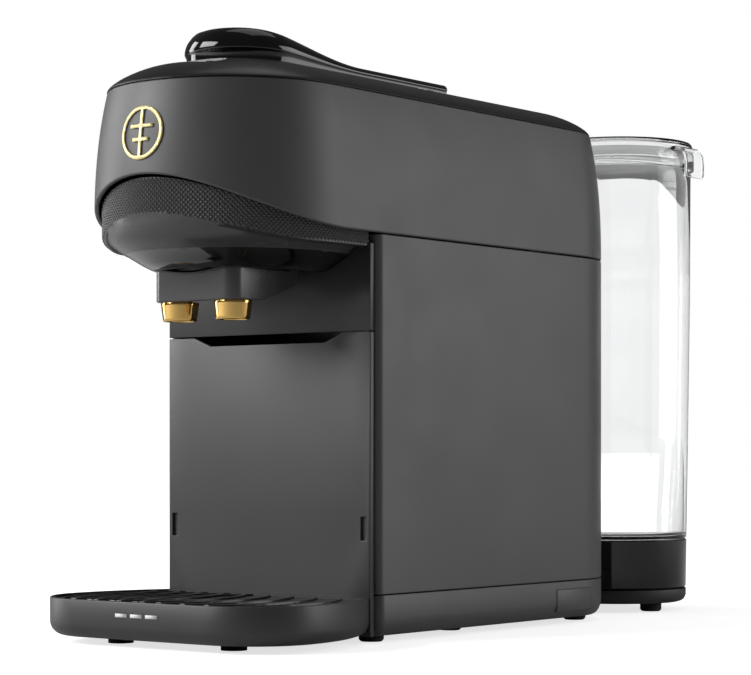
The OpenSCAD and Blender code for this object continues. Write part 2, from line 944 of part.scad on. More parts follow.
module hose_pump() color("#cfd3d6") place() {
  z0 = split_z + 10;
  hose([[-42, pump_y, pump_z], [-47, pump_y, pump_z], [-49, pump_y, pump_z + 6], [-48, pump_y, pump_z + 34], [-8, pump_y, pump_z + 34],
        [20, pump_y - 20, z0], [20, 120, z0]], 3);
}

module hose_brew() color("#cfd3d6") place() {
  z0 = split_z + 10;
  hose([[-20, 51, z0], [-19, 44, z0 + 2], [0, 45, z0 + 18], [2, 74, seam_z - 1], [1, 78.4, brew_z - 2], [0, brew_y + 31, brew_z]], 3);
}

module chassis_screws() color("#8f9297") place()
  for (x = [-1, 1], y = [18, body_l - 45])
    translate([x * (half_w - 20), y, foot_h + 0.8])
      difference() {
        union() {
          cylinder(h = 2.6, r = 3.2);
          cylinder(h = 10, r = 1.7);
        }
        translate([-0.6, -2.4, -1])
          cube([1.2, 4.8, 2]);
      }

module base_feet() color("#1a1a1a") place()
  for (s = [-1, 1], p = [[half_w - 13, 14], [half_w - 26, 93], [half_w - 18, body_l - 33]])
    translate([s * p[0], p[1], 0]) {
      cylinder(h = 1, r1 = foot_r - 1, r2 = foot_r);
      translate([0, 0, 1 - e])
        cylinder(h = foot_h - 1 + e, r = foot_r);
    }

// ---- capsule bin, tray and grid ----

module bin_front() color("#34353a") place()
  difference() {
    union() {
      translate([panel_inset - half_w, 0, foot_h + 0.2])
        cube([body_w - 2 * panel_inset, plate_t, split_z - seam_gap / 2 - foot_h - 0.2]);
      // hooks that carry the drip tray
      both()
        translate([half_w - 32, -6, 9])
          cube([10, 6 + e, 4]);
      both()
        translate([half_w - 32, -6, 12])
          cube([10, 2, 3.4]);
    }
    // finger recess in the upper edge
    translate([0, -1, 0])
      rotate([90, 0, 0])
        translate([0, 0, -plate_t - 2])
          linear_extrude(plate_t + 3)
            polygon([[-0.755 * half_w, split_z + 1], [-0.545 * half_w, split_z - 4.5], [0.545 * half_w, split_z - 4.5],
                     [0.755 * half_w, split_z + 1]]);
    both()
      translate([half_w - 8.3, -1, 46.5])
        cube([3.5, 2.4, 10.8]);
  }

module capsule_bin() color("#232427") place() {
  z0 = base_z + slide_gap;
  h = split_z - 14 - z0;
  half = half_w - 10;
  difference() {
    translate([-half, plate_t, z0])
      cube([2 * half, bin_l, h]);
    translate([2 - half, plate_t + 2, z0 + 2])
      cube([2 * half - 4, bin_l - 4, h]);
  }
}

module drip_tray() color("#232427") place() {
  y1 = -slide_gap;
  difference() {
    union() {
      translate([0, 0, tray_lift + tray_roll])
        linear_extrude(tray_z - tray_lift - tray_roll)
          tray_plan(0, y1);
      // softly rounded lower edge
      for (a = [18 : 18 : 90])
        translate([0, 0, tray_lift + tray_roll * (1 - sin(a))])
          linear_extrude(tray_roll * sin(a) + e)
            tray_plan(tray_roll * (1 - cos(a)), y1);
    }
    difference() {
      union() {
        translate([0, 0, tray_lift + 2])
          linear_extrude(30)
            tray_plan(wall + tray_roll - 2, y1 - wall);
        translate([0, 0, tray_lift + tray_roll - 1])
          linear_extrude(30)
            tray_plan(wall, y1 - wall);
      }
      // step that carries the grid
      translate([0, 0, tray_lift])
        linear_extrude(tray_z - 3.4 - tray_lift)
          difference() {
            tray_plan(0, 0);
            tray_plan(wall + 1.6, y1 - wall - 1.6);
          }
    }
    // pockets for the bin's hooks
    both()
      translate([half_w - 32.6, -wall - 7, 8.2])
        cube([11.2, wall + 8, 7.8]);
  }
  // closed back of the two pockets
  both()
    translate([half_w - 34, -wall - 8, tray_lift + 1])
      difference() {
        cube([14, 9.2, tray_z - 3.4 - tray_lift - 1]);
        translate([1.4, 1.4, 8.2 - tray_lift - 1])
          cube([11.2, 12, 7.8]);
      }
}

module tray_mark() color("#d9d9d9") place()
  for (x = [-9, 0, 9])
    translate([x - 3.5, -tray_reach - 0.25, 13.9])
      cube([7, 0.25, 1.6]);

module tray_feet() color("#1a1a1a") place()
  for (s = [-1, 1])
    translate([s * 34, 26 - tray_reach, 0])
      cylinder(h = tray_lift, r = foot_r);

module drip_grid() color("#1d1e21") place() {
  z0 = tray_z - 3.2;
  gap = wall + 0.35;
  difference() {
    union() {
      translate([0, 0, z0])
        linear_extrude(2.2)
          tray_plan(gap, -slide_gap - gap);
      // raised ribs the cups stand on
      intersection() {
        translate([0, 0, z0 + 2.2 - e])
          linear_extrude(0.9 + e)
            tray_plan(gap + 4, -slide_gap - gap - 4);
        for (i = [-6 : 6])
          translate([i * 14 - 40, -tray_reach / 2, z0])
            difference() {
              cylinder(h = 6, r = 61.2, $fn = 96);
              translate([0, 0, -1])
                cylinder(h = 8, r = 58.8, $fn = 96);
            }
      }
    }
    // drain slots between the ribs
    for (i = [-4 : 4])
      translate([i * 14 - 1.4, 12 - tray_reach + i * i, z0 - 1])
        cube([2.8, tray_reach - 28 - i * i, 3.1]);
  }
}

// ---- tank and its holder ----

module tank_holder() color("#202124") place() {
  d = draft(holder_z);
  difference() {
    union() {
      sweep_tank()
        polygon([[d, holder_z], [d, 8.5], [d + 0.8, 6.4], [d + 2.4, 5.2], [d + 4.5, 4.6], [d + 7, 4.6], [d + 7, 7], [d + 5, 7],
                 [d + wall, 9], [d + wall, holder_z]]);
      translate([0, 0, holder_z - wall])
        linear_extrude(wall)
          tank_plan(d + wall - 0.4);
      // neck that joins the holder to the base
      translate([-24, body_l - wall, 4.6])
        cube([48, tank_gap + 2 * wall + d, holder_z - 4.6]);
      for (s = [-1, 1])
        translate([s * (tank_c + 25), tank_y - 4, 4.6])
          cylinder(h = holder_z - 4.6 - wall + e, r = foot_r);
    }
    // passage for the water hose
    translate([0, body_l - 5, hose_z])
      rotate([-90, 0, 0])
        cylinder(h = tank_y - body_l, r = 2.7);
    translate([0, body_l - 5, hose_z])
      rotate([-90, 0, 0])
        cylinder(h = 8, r = 3.1);
    translate([-3.1, body_l - 5, hose_z])
      cube([6.2, 8, 4]);
    translate([0, tank_y, -1])
      cylinder(h = 30, r = 8);
  }
}

module tank_socket() color("#2c2d30") place()
  difference() {
    translate([0, tank_y, 0])
      union() {
        translate([0, 0, holder_z + e])
          cylinder(h = 1.8, r = 16.5);
        translate([0, 0, holder_z + e])
          cylinder(h = 10, r = 14);
        translate([0, 0, 5])
          cylinder(h = 8, r = 7.9);
      }
    translate([0, tank_y, holder_z + 2])
      cylinder(h = 20, r = neck_r + 0.4);
    translate([0, tank_y, 9])
      difference() {
        cylinder(h = 12, r = 5.5);
        translate([0, 0, -1])
          cylinder(h = 6.5, r = 1.6);
        for (a = [0 : 120 : 240])
          rotate([0, 0, a])
            translate([0, -0.7, -1])
              cube([6, 1.4, 3]);
      }
    translate([0, tank_y - 4, hose_z])
      rotate([90, 0, 0])
        cylinder(h = 8, r = 1.6);
    // groove of the seal
    translate([0, tank_y, holder_z + 4.05])
      cylinder(h = 1.9, r = neck_r + 2.2);
  }

module socket_seal() color("#7a3b2b") place()
  translate([0, tank_y, holder_z + 5])
    rotate_extrude()
      translate([neck_r + 1.25, 0])
        circle(r = 0.9, $fn = 24);

module holder_feet() color("#1a1a1a") place()
  for (s = [-1, 1])
    translate([s * (tank_c + 25), tank_y - 4, 0]) {
      cylinder(h = 1, r1 = foot_r - 1, r2 = foot_r);
      translate([0, 0, 1 - e])
        cylinder(h = 3.6 + e, r = foot_r);
    }

module tank_vessel() color([0.86, 0.88, 0.9, 0.4]) place() {
  top = tank_z - 4;
  rim = tank_wall + 0.4;
  difference() {
    union() {
      sweep_tank()
        polygon([[draft(skirt_z), skirt_z], [0.6 + draft(tank_z - 16), tank_z - 16], [0.6 + rim, tank_z - 15],
                 [0.6 + rim, top], [0.6 + rim + tank_wall, top], [0.6 + rim + tank_wall, tank_z - 17],
                 [draft(tank_z - 22) + tank_wall + 0.8, tank_z - 22], [draft(skirt_z) + tank_wall, skirt_z + 2.5],
                 [draft(skirt_z) + tank_wall, skirt_z]]);
      translate([0, 0, skirt_z])
        linear_extrude(2.5)
          tank_plan(draft(skirt_z) + tank_wall - 0.4);
      translate([0, tank_y, neck_z])
        cylinder(h = skirt_z - neck_z + 1, r = neck_r);
    }
    // bore of the neck, with a ledge above that the valve's spring bears on
    translate([0, tank_y, neck_z + 3])
      cylinder(h = 17, r = neck_bore);
    translate([0, tank_y, neck_z + 3])
      cylinder(h = skirt_z, r = 4.6);
    translate([0, tank_y, neck_z - 1])
      cylinder(h = 6, r = 4.2);
  }
}

module tank_skirt() color("#09090a") place() {
  z0 = holder_z + 0.4;
  difference() {
    union() {
      sweep_tank()
        polygon([[draft(z0) + 0.6, z0], [draft(z0), z0 + 1.2], [draft(skirt_z), skirt_z], [draft(skirt_z) + wall, skirt_z],
                 [draft(z0) + wall, z0]]);
      translate([0, 0, skirt_z - wall])
        linear_extrude(wall)
          tank_plan(draft(skirt_z) + wall - 0.4);
    }
    translate([0, tank_y, z0])
      cylinder(h = skirt_z, r = neck_r + 0.05);
  }
}

module tank_lid() color([0.9, 0.91, 0.92, 0.4]) place() {
  rim = 2 * tank_wall + 1.4;
  difference() {
    union() {
      sweep_tank()
        polygon([[0, tank_z - 14.6], [0, tank_z - 2], [0.8, tank_z - 0.6], [2.2, tank_z], [rim, tank_z], [rim, tank_z - 2.2],
                 [2.2, tank_z - 2.2], [tank_wall, tank_z - 4], [tank_wall, tank_z - 14.6]]);
      translate([0, 0, tank_z - 2.2])
        linear_extrude(2.2)
          tank_plan(rim - 0.4);
      // moulded grip at each end
      both()
        translate([tank_w / 2 - 1.2, tank_y - 9, tank_z - 23])
          rotate([-90, 0, 0])
            mirror([0, 1])
              linear_extrude(18)
                polygon([[0, 19.6], [6, 19.4], [10, 16], [11.4, 10], [11.6, 3], [10.6, 0], [9.4, 0], [9.8, 3], [9.6, 9.4],
                         [8.4, 14], [5.2, 17], [0, 17.2]]);
    }
    translate([0, tank_y, tank_z - 8])
      cylinder(h = 10, r = 1.5);
  }
}

module valve_poppet() color("#e2e2e2") place()
  translate([0, tank_y, 0])
    union() {
      translate([0, 0, neck_z + 6.4])
        cylinder(h = 2.4, r = 6.6);
      translate([0, 0, 14.9])
        cylinder(h = neck_z + 6.4 - 14.9 + e, r = 3.4);
      translate([0, 0, neck_z + 8.8 - e])
        cylinder(h = 9, r = 2);
    }

module valve_ring() color("#6b2f22") place()
  translate([0, tank_y, neck_z + 4.4])
    difference() {
      cylinder(h = 2, r = 6);
      translate([0, 0, -1])
        cylinder(h = 4, r = 3.4);
    }

module valve_spring() color("#c4c6ca") place()
  translate([0, tank_y, neck_z + 8.8])
    rotate_extrude()
      polygon([[4, 0], [5, 0], [5.8, 1.6], [5, 3.2], [5.8, 4.8], [5, 6.4], [5.8, 8], [5, 9.6], [5, 11.2], [4, 11.2], [4, 9.6],
               [4.8, 8], [4, 6.4], [4.8, 4.8], [4, 3.2], [4.8, 1.6]]);

base_chassis();
base_hatch();
body_shell();
cord_gland();
upper_panel();
inner_frame();
upper_housing();
top_cap();
knurled_band();
head_underside();
spout_block();
nozzle_left();
nozzle_right();
head_emblem();
coffee_duct();
brew_head();
piercing_plate();
brew_seal();
hinge_pin();
button_panel();
button_board();
control_board();
water_pump();
pump_mounts();
heater_block();
flow_meter();
hose_tank();
hose_meter();
hose_pump();
hose_brew();
tank_holder();
tank_socket();
socket_seal();
holder_feet();
base_feet();
chassis_screws();
bin_front();
capsule_bin();
drip_tray();
tray_mark();
tray_feet();
drip_grid();
lever();
lever_crank();
capsule_cup();
button_left();
button_middle();
button_right();
boot_left();
boot_middle();
boot_right();
tank_vessel();
tank_skirt();
tank_lid();
valve_poppet();
valve_ring();
valve_spring();
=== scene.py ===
import json
import math
import bpy
import bmesh
from mathutils import Matrix, Vector


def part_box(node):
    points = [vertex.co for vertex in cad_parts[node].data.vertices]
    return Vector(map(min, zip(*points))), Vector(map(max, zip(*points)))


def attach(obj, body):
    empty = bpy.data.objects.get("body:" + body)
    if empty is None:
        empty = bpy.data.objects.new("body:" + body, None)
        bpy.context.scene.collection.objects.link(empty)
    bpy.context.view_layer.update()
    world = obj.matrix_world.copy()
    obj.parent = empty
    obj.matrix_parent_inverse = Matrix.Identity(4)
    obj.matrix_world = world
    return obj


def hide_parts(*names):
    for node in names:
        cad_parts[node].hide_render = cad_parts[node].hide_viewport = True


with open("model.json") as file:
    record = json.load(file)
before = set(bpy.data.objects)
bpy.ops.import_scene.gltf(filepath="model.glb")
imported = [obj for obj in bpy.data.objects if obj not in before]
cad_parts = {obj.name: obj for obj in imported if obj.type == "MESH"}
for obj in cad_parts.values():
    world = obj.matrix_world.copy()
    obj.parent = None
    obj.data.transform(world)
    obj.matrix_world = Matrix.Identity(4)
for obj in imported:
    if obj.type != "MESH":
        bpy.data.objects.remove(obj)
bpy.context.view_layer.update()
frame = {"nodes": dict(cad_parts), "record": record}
print("frame loaded:", len(frame["nodes"]), "nodes")

mm = 0.001
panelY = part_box("upper_panel")[0].y   # the front panels' plane, which the pieces are drawn from


def nodeBox(node):
    # a CAD node's corners in millimetres, from the front panels' plane
    low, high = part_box(node)
    shift = Vector((0, panelY, 0))
    return (low - shift) / mm, (high - shift) / mm


# ---- camera ----

cameraSet = {"place": (0.7244, panelY - 0.8545, 0.0866), "turn": 37.7, "lens": 115.05, "sensor": 36,
             "shiftX": 0.0007, "shiftY": 0.1525, "nearest": 0.01}

camera = bpy.data.objects.new("camera", bpy.data.cameras.new("camera"))
bpy.context.scene.collection.objects.link(camera)
camera.location = cameraSet["place"]
camera.rotation_euler = (math.radians(90), 0, math.radians(cameraSet["turn"]))
camera.data.lens = cameraSet["lens"]
camera.data.sensor_width = cameraSet["sensor"]
camera.data.shift_x = cameraSet["shiftX"]
camera.data.shift_y = cameraSet["shiftY"]
camera.data.clip_start = cameraSet["nearest"]
bpy.context.scene.camera = camera

# ---- finishes ----

# colour, roughness from and to, grain size in mm, grain depth in mm, and what differs from plain plastic
finishSet = {
    "body_satin": {"colour": (0.060, 0.060, 0.062), "rough": (0.42, 0.50), "grain": 0.35, "depth": 0.012},
    "panel_satin": {"colour": (0.030, 0.030, 0.031), "rough": (0.40, 0.48), "grain": 0.35, "depth": 0.012},
    "cap_black": {"colour": (0.010, 0.010, 0.011), "rough": (0.30, 0.40), "grain": 0.35, "depth": 0.01},
    "gloss_black": {"colour": (0.003, 0.003, 0.0035), "rough": (0.05, 0.09), "grain": 14, "depth": 0.02},
    "inner_plastic": {"colour": (0.02, 0.02, 0.022), "rough": (0.5, 0.62), "grain": 0.6, "depth": 0.02},
    "spout_grey": {"colour": (0.044, 0.044, 0.045), "rough": (0.24, 0.30), "grain": 0.4, "depth": 0.008},
    "nozzle_brass": {"colour": (0.62, 0.40, 0.13), "rough": (0.08, 0.13), "grain": 0.8, "depth": 0.004, "metal": 1,
                     "brushed": True},
    "emblem_gold": {"colour": (0.92, 0.74, 0.33), "rough": (0.30, 0.4), "grain": 0.5, "depth": 0.006, "metal": 0.35},
    "mark_white": {"colour": (0.66, 0.66, 0.66), "rough": (0.4, 0.5), "grain": 0.3, "depth": 0.006},
    "steel": {"colour": (0.60, 0.61, 0.63), "rough": (0.18, 0.3), "grain": 0.8, "depth": 0.006, "metal": 1,
              "brushed": True},
    "cast_metal": {"colour": (0.42, 0.43, 0.44), "rough": (0.42, 0.6), "grain": 1.2, "depth": 0.05, "metal": 1},
    "board_green": {"colour": (0.02, 0.10, 0.045), "rough": (0.3, 0.42), "grain": 0.9, "depth": 0.02},
    "foot_rubber": {"colour": (0.012, 0.012, 0.012), "rough": (0.75, 0.9), "grain": 0.8, "depth": 0.04},
    "seal_rubber": {"colour": (0.16, 0.045, 0.025), "rough": (0.55, 0.7), "grain": 0.8, "depth": 0.03},
    "hose": {"colour": (0.62, 0.64, 0.66), "rough": (0.28, 0.4), "grain": 2.5, "depth": 0.02},
    "white_plastic": {"colour": (0.64, 0.64, 0.63), "rough": (0.35, 0.48), "grain": 0.6, "depth": 0.012},
    "button_plastic": {"colour": (0.022, 0.022, 0.024), "rough": (0.32, 0.42), "grain": 0.4, "depth": 0.01},
    "tank_clear": {"colour": (0.97, 0.98, 0.985), "rough": (0.0, 0.03), "grain": 22, "depth": 0.02, "clear": True},
}
patchSet = {"size": 38, "tone": 0.06}          # the slow change of tone, size in mm
paintedHighlightSet = {"share": 0.10, "from": 0.52, "to": 0.62, "gain": 1.5, "lift": 0.05}     # convex edges painted paler: a painted edge highlight


def makeFinish(name, s):
    material = bpy.data.materials.new(name)
    material.use_nodes = True
    nodes, links = material.node_tree.nodes, material.node_tree.links
    shader = nodes["Principled BSDF"]
    place = nodes.new("ShaderNodeTexCoord")
    cloud = nodes.new("ShaderNodeTexNoise")       # slow change of tone and polish over the piece
    cloud.inputs["Scale"].default_value = 1 / (patchSet["size"] * mm)
    cloud.inputs["Detail"].default_value = 3
    grain = nodes.new("ShaderNodeTexNoise")       # the mould's own fine texture
    grain.inputs["Scale"].default_value = 1 / (s["grain"] * mm)
    grain.inputs["Detail"].default_value = 2
    links.new(place.outputs["Object"], cloud.inputs["Vector"])
    if s.get("brushed"):
        turn = nodes.new("ShaderNodeMapping")     # turned metal: the grain runs round the piece
        turn.inputs["Scale"].default_value = (0.15, 0.15, 3)
        links.new(place.outputs["Object"], turn.inputs["Vector"])
        links.new(turn.outputs["Vector"], grain.inputs["Vector"])
    else:
        links.new(place.outputs["Object"], grain.inputs["Vector"])

    polish = nodes.new("ShaderNodeMapRange")
    polish.inputs["From Min"].default_value = 0.3
    polish.inputs["From Max"].default_value = 0.7
    polish.inputs["To Min"].default_value = s["rough"][0]
    polish.inputs["To Max"].default_value = s["rough"][1]
    links.new(cloud.outputs["Fac"], polish.inputs["Value"])
    links.new(polish.outputs["Result"], shader.inputs["Roughness"])

    bump = nodes.new("ShaderNodeBump")
    bump.inputs["Strength"].default_value = 0.5
    bump.inputs["Distance"].default_value = s["depth"] * mm
    links.new(grain.outputs["Fac"], bump.inputs["Height"])
    links.new(bump.outputs["Normal"], shader.inputs["Normal"])

    c = s["colour"]
    tone = nodes.new("ShaderNodeMix")             # a little lighter and darker in patches
    tone.data_type = "RGBA"
    tone.inputs["A"].default_value = tuple(x * (1 - patchSet["tone"]) for x in c) + (1,)
    tone.inputs["B"].default_value = tuple(min(1, x * (1 + patchSet["tone"])) for x in c) + (1,)
    links.new(cloud.outputs["Fac"], tone.inputs["Factor"])
    if s.get("clear"):
        shader.inputs["Transmission Weight"].default_value = 1
        shader.inputs["IOR"].default_value = 1.45
        links.new(tone.outputs["Result"], shader.inputs["Base Color"])
        return material
    # the more pointed the edge, the paler its colour: a painted highlight along convex edges
    edge = nodes.new("ShaderNodeNewGeometry")
    highlightMask = nodes.new("ShaderNodeMapRange")
    highlightMask.inputs["From Min"].default_value = paintedHighlightSet["from"]
    highlightMask.inputs["From Max"].default_value = paintedHighlightSet["to"]
    highlightMask.inputs["To Max"].default_value = paintedHighlightSet["share"]
    links.new(edge.outputs["Pointiness"], highlightMask.inputs["Value"])
    paintedHighlight = nodes.new("ShaderNodeMix")
    paintedHighlight.data_type = "RGBA"
    paintedHighlight.inputs["B"].default_value = tuple(min(1, x * paintedHighlightSet["gain"] + paintedHighlightSet["lift"]) for x in c) + (1,)
    links.new(highlightMask.outputs["Result"], paintedHighlight.inputs["Factor"])
    links.new(tone.outputs["Result"], paintedHighlight.inputs["A"])
    links.new(paintedHighlight.outputs["Result"], shader.inputs["Base Color"])
    shader.inputs["Metallic"].default_value = s.get("metal", 0)
    return material


finishes = {name: makeFinish(name, s) for name, s in finishSet.items()}
print("finishes made:", len(finishes))

# ---- tools for the pieces: everything is drawn in millimetres from the front panels' plane ----


def onlyVerts(geom):
    return [g for g in geom if isinstance(g, bmesh.types.BMVert)]


def onlyEdges(geom):
    return [g for g in geom if isinstance(g, bmesh.types.BMEdge)]


def chain(bm, start, inward, profile):
    # an open chain of edges: profile holds (distance inward from the outline, height)
    verts = [bm.verts.new((start[0] + inward[0] * d, start[1] + inward[1] * d, z)) for d, z in profile]
    return verts + [bm.edges.new(pair) for pair in zip(verts, verts[1:])]


def sweep(bm, geom, route):
    # carries a chain of edges along straight runs ("line", move, steps) and turns ("turn", centre, degrees, steps)
    for kind, where, amount, *rest in route:
        if kind == "turn":
            geom = bmesh.ops.spin(bm, geom=geom, cent=(where[0], where[1], 0), axis=(0, 0, 1), dvec=(0, 0, 0),
                                  angle=math.radians(amount), steps=rest[0], use_merge=False)["geom_last"]
            continue
        for step in range(amount):
            new = bmesh.ops.extrude_edge_only(bm, edges=onlyEdges(geom))["geom"]
            verts = onlyVerts(new)
            inside = set(verts)
            geom = verts + [e for e in onlyEdges(new) if e.verts[0] in inside and e.verts[1] in inside]
            bmesh.ops.translate(bm, verts=verts, vec=Vector((where[0], where[1], 0)) / amount)
    return geom


def fillHoles(bm, test):
    edges = [e for e in bm.edges if e.is_boundary and test(e.verts[0].co) and test(e.verts[1].co)]
    return bmesh.ops.holes_fill(bm, edges=edges, sides=0)["faces"]


def bevelWhere(bm, test, offset, segments):
    edges = [e for e in bm.edges if test(e.verts[0].co) and test(e.verts[1].co)]
    bmesh.ops.bevel(bm, geom=edges, offset=offset, segments=segments, profile=0.5, affect="EDGES", material=-1,
                    clamp_overlap=True)


def block(bm, low, high, bevel=0, segments=2):
    new = bmesh.ops.create_cube(bm, size=1)["verts"]
    size = Vector(high) - Vector(low)
    bmesh.ops.scale(bm, verts=new, vec=size)
    bmesh.ops.translate(bm, verts=new, vec=(Vector(low) + Vector(high)) / 2)
    if bevel:
        edges = list({e for v in new for e in v.link_edges})
        bmesh.ops.bevel(bm, geom=edges, offset=bevel, segments=segments, profile=0.5, affect="EDGES", material=-1)


def finishPiece(bm, name, body, slot, replaces, solid=0, even=True, bevel=0, segments=3, rounds=0, flat=False,
                angle=35):
    bmesh.ops.remove_doubles(bm, verts=bm.verts, dist=0.005)
    bmesh.ops.dissolve_degenerate(bm, dist=0.002, edges=bm.edges)
    bmesh.ops.recalc_face_normals(bm, faces=bm.faces)
    bmesh.ops.scale(bm, verts=bm.verts, vec=(mm, mm, mm))
    bmesh.ops.translate(bm, verts=bm.verts, vec=(0, panelY, 0))
    mesh = bpy.data.meshes.new(name)
    bm.to_mesh(mesh)
    bm.free()
    piece = bpy.data.objects.new(name, mesh)
    bpy.context.scene.collection.objects.link(piece)
    mesh.materials.append(finishes[slot])
    if not flat:
        mesh.shade_smooth()
        mesh.set_sharp_from_angle(angle=math.radians(angle))
    if solid:
        wall = piece.modifiers.new("wall", "SOLIDIFY")
        wall.thickness = solid * mm
        wall.offset = -1
        wall.use_even_offset = even
    if rounds:
        smooth = piece.modifiers.new("smooth", "SUBSURF")
        smooth.levels = smooth.render_levels = rounds
    if bevel:
        addBevel(piece, bevel, segments)
    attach(piece, body)
    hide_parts(*replaces)
    return piece


def addBevel(piece, width, segments, angle=40):
    soft = piece.modifiers.new("soft edges", "BEVEL")
    soft.width = width * mm
    soft.segments = segments
    soft.limit_method = "ANGLE"
    soft.angle_limit = math.radians(angle)
    soft.use_clamp_overlap = True
    soft.harden_normals = True


# ---- outline of the machine ----

shellLow, shellHigh = nodeBox("body_shell")
outline = {"half": shellHigh.x, "length": shellHigh.y, "rearRadius": 50, "seamGap": 0.6}
half = outline["half"]
rearCentre = outline["length"] - outline["rearRadius"]
flatHalf = half - outline["rearRadius"]
headLow, headHigh = nodeBox("upper_housing")
frontCentre = headLow.y + half
seamZ, creaseZ = headLow.z, headHigh.z
baseZ = shellLow.z
faceY = shellLow.y


def inwardAt(p):
    # unit direction from the machine's outline towards its middle
    side = 1 if p.x > 0 else -1
    if p.y < frontCentre:
        way = Vector((-p.x, frontCentre - p.y, 0))
    elif p.y > rearCentre and abs(p.x) > flatHalf:
        way = Vector((side * flatHalf - p.x, rearCentre - p.y, 0))
    elif p.y > rearCentre + 1:
        way = Vector((0, -1, 0))
    else:
        way = Vector((-side, 0, 0))
    return way.normalized()


def rearRoute(y0, steps):
    # from the right-hand side at y0 round the back to the left-hand side
    return [("line", (0, rearCentre - y0), steps), ("turn", (flatHalf, rearCentre), 90, 24),
            ("line", (-2 * flatHalf, 0), 3), ("turn", (-flatHalf, rearCentre), 90, 24),
            ("line", (0, y0 - rearCentre), steps)]


# ---- body shell: side walls and back in one wrap, turned in at the front ----

shellSet = {"frontRound": 3.4, "turnIn": 2.6, "wall": 2.2, "edge": 0.45}

bm = bmesh.new()
r = shellSet["frontRound"]
geom = chain(bm, (half - r - shellSet["turnIn"], faceY), (0, 1), [(0, baseZ + 0.1), (0, seamZ - outline["seamGap"])])
sweep(bm, geom, [("line", (shellSet["turnIn"], 0), 1), ("turn", (half - r, faceY + r), 90, 8)]
      + rearRoute(faceY + r, 4) + [("turn", (r - half, faceY + r), 90, 8), ("line", (shellSet["turnIn"], 0), 1)])
finishPiece(bm, "bodyShell", "machine", "body_satin", ["body_shell"], solid=shellSet["wall"], bevel=shellSet["edge"])

# ---- base: same outline, rolled under to the feet ----

baseLow, baseHigh = nodeBox("base_chassis")
baseSet = {"frontRound": 5, "roll": 4.9, "rollHeight": 8.5, "edge": 0.5, "foot": baseLow.z}


def roundUp(depth, height, steps, z0):
    # quarter of an oval from the flat underside up to the wall
    turns = [math.radians(90 * i / steps) for i in range(steps + 1)]
    return [(depth * (1 - math.sin(t)), z0 + height * (1 - math.cos(t))) for t in turns]


def topEdge(z, edge):
    # a small softened corner from a wall onto the flat at height z
    return [(0, z - edge), (edge * 0.3, z - edge * 0.3), (edge, z)]


bm = bmesh.new()
r, foot = baseSet["frontRound"], baseSet["foot"]
geom = chain(bm, (0, faceY), (0, 1),
             roundUp(baseSet["roll"], baseSet["rollHeight"], 9, foot) + topEdge(baseHigh.z, baseSet["edge"]))
sweep(bm, geom, [("line", (half - r, 0), 1), ("turn", (half - r, faceY + r), 90, 8)] + rearRoute(faceY + r, 4)
      + [("turn", (r - half, faceY + r), 90, 8), ("line", (half - r, 0), 1)])
bmesh.ops.remove_doubles(bm, verts=bm.verts, dist=0.01)
fillHoles(bm, lambda p: p.z < foot + 0.01)
fillHoles(bm, lambda p: p.z > baseHigh.z - 0.01)
finishPiece(bm, "baseShell", "machine", "body_satin", ["base_chassis"])

# ---- side hatch: a thin cover ringed by a dark plate, a painted shadow for its seam ----

hatchLow, hatchHigh = nodeBox("base_hatch")
hatchSet = {"gap": 0.45, "proud": 0.35, "seamShadeProud": 0.08, "edge": 0.25, "sunk": 1}

bm = bmesh.new()
gap, hatchBack = hatchSet["gap"], half - hatchSet["sunk"]
# a dark plate just proud of the wall, a little bigger than the hatch: painted shadow in the seam
block(bm, (hatchBack, hatchLow.y - gap, hatchLow.z - gap),
      (half + hatchSet["seamShadeProud"], hatchHigh.y + gap, hatchHigh.z + gap))
finishPiece(bm, "hatchSeamShade", "machine", "inner_plastic", [], flat=True)
bm = bmesh.new()
block(bm, (hatchBack, hatchLow.y, hatchLow.z), (half + hatchSet["proud"], hatchHigh.y, hatchHigh.z), hatchSet["edge"])
finishPiece(bm, "sideHatch", "machine", "body_satin", ["base_hatch"])

# ---- upper housing: leaning walls whose lower edge sweeps up to the front ----

housingSet = {"lean": 6, "leanPower": 2.5, "swoopStart": -18, "swoopRadius": 115, "rows": 16, "wall": 2.3,
              "edge": 0.9}


def lean(z):
    return housingSet["lean"] * (max(0, z - seamZ) / (creaseZ - seamZ)) ** housingSet["leanPower"]


def swoop(y, start, radius):
    # height gained by an edge that starts to rise at start and sweeps up to the front
    run = max(0, start - y)
    return radius - math.sqrt(max(0, radius * radius - run * run))


bm = bmesh.new()
rows = housingSet["rows"]
geom = chain(bm, (half, frontCentre), (-1, 0), [(0, i / rows) for i in range(rows + 1)])
sweep(bm, geom, rearRoute(frontCentre, 10) + [("turn", (0, frontCentre), 180, 72)])
for v in bm.verts:
    low = seamZ + swoop(v.co.y, housingSet["swoopStart"], housingSet["swoopRadius"])
    height = low + (creaseZ - low) * v.co.z
    v.co = v.co + inwardAt(v.co) * lean(height)
    v.co.z = height
finishPiece(bm, "upperHousing", "machine", "body_satin", ["upper_housing"], solid=housingSet["wall"],
            bevel=housingSet["edge"])

# ---- knurled band under the swoop: a raised diamond at every other crossing of a fine net ----

bandSet = {"inset": 3.9, "pitch": 1.1, "height": 0.5, "lowerStart": -36, "lowerRadius": 100, "drop": 6, "cover": 1.6,
           "wall": 1.6}

bm = bmesh.new()
bandR = half - bandSet["inset"]
pitch = bandSet["pitch"]
sideSteps = round(-frontCentre / pitch)
frontSteps = round(math.pi * bandR / pitch)
bandFoot = seamZ - bandSet["drop"]
bandRows = math.ceil((headHigh.z - bandFoot) / pitch / 2)
geom = chain(bm, (-bandR, 0), (1, 0), [(0, bandFoot + i * pitch) for i in range(bandRows + 1)])
sweep(bm, geom, [("line", (0, frontCentre), sideSteps), ("turn", (0, frontCentre), 180, frontSteps),
                 ("line", (0, -frontCentre), sideSteps)])
bmesh.ops.remove_doubles(bm, verts=bm.verts, dist=0.01)


